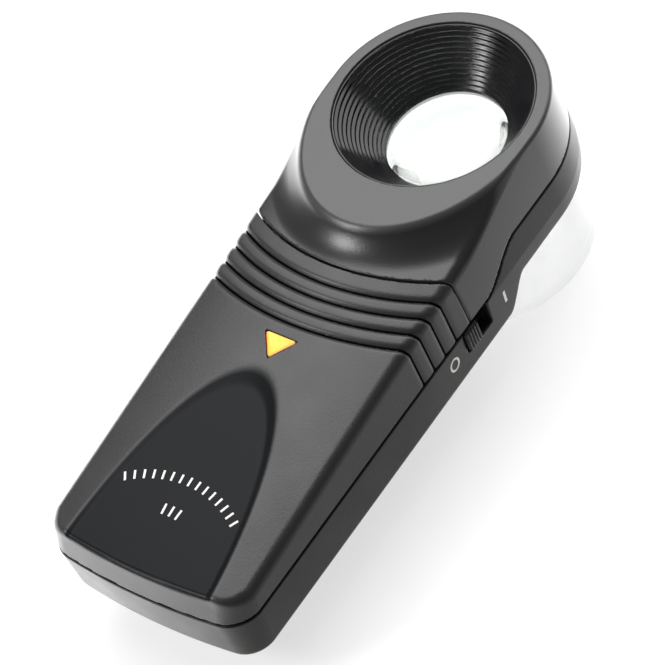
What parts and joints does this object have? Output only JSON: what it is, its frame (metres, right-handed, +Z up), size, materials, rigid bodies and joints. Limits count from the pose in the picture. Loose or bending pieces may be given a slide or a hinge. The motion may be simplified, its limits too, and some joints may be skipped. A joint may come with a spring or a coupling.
{
  "type": "slide viewer loupe",
  "caption": "Hand-held illuminated slide-viewing loupe: domed eyepiece, clear standing cup, side switch and a sliding battery cover on a slim handle.",
  "frame": {"origin": "on the lens axis, in the plane of the clear cup's rim, where the slide being viewed lies", "axes": "+X from the handle to the head, +Y to the side away from the switch, +Z up along the lens axis towards the eye"},
  "size_m": [0.1246, 0.0454, 0.0388],
  "materials": {
    "case": "satin moulded charcoal ABS, fine sparked texture",
    "cover": "satin moulded charcoal ABS, fine sparked texture",
    "baffle": "black, fine turned rings",
    "amber": "translucent amber",
    "lens": "polished optical acrylic",
    "clear": "clear moulded acrylic",
    "black_plastic": "plain black",
    "knob": "black acetal",
    "cell_jacket": "printed shrink sleeve, steel ends",
    "plated_steel": "nickel-plated spring steel",
    "screw_steel": "zinc-plated steel",
    "board": "green solder mask on glass-epoxy",
    "resistor": "beige lacquer with colour bands",
    "tinned": "tinned copper wire",
    "lamp": "clear epoxy lens",
    "phenolic": "brown phenolic board"
  },
  "bodies": {
    "case": {"bottom_shell": "case", "head_shell": "case", "eyepiece_cone": "baffle", "eye_lens": "lens", "field_lens": "lens", "lens_spacer": "black_plastic", "lens_barrel": "black_plastic", "lens_retainer": "black_plastic", "clear_cup": "clear", "cell_1": "cell_jacket", "cell_2": "cell_jacket", "cell_3": "cell_jacket", "cell_spring_1": "plated_steel", "cell_spring_2": "plated_steel", "cell_spring_3": "plated_steel", "tail_bridge": "plated_steel", "tail_terminal": "plated_steel", "head_terminal": "plated_steel", "head_bridge": "plated_steel", "return_strip": "plated_steel", "circuit_board": "board", "resistor": "resistor", "resistor_leads": "tinned", "lamp": "lamp", "lamp_leads": "tinned", "lamp_holder": "black_plastic", "switch_frame": "plated_steel", "switch_base": "phenolic", "switch_terminals": "tinned", "bay_screws": "screw_steel", "underside_screws": "screw_steel"},
    "cover": {"battery_cover": "cover", "arrow_insert": "amber"},
    "switch": {"switch_knob": "knob", "switch_slider": "black_plastic"}
  },
  "joints": [
    {"name": "cover_slide", "type": "slide", "parent": "case", "child": "cover", "axis": [-1, 0, 0], "range_m": [0, 0.008]},
    {"name": "switch_slide", "type": "slide", "parent": "case", "child": "switch", "axis": [1, 0, 0], "range_m": [0, 0.0035]}
  ]
}
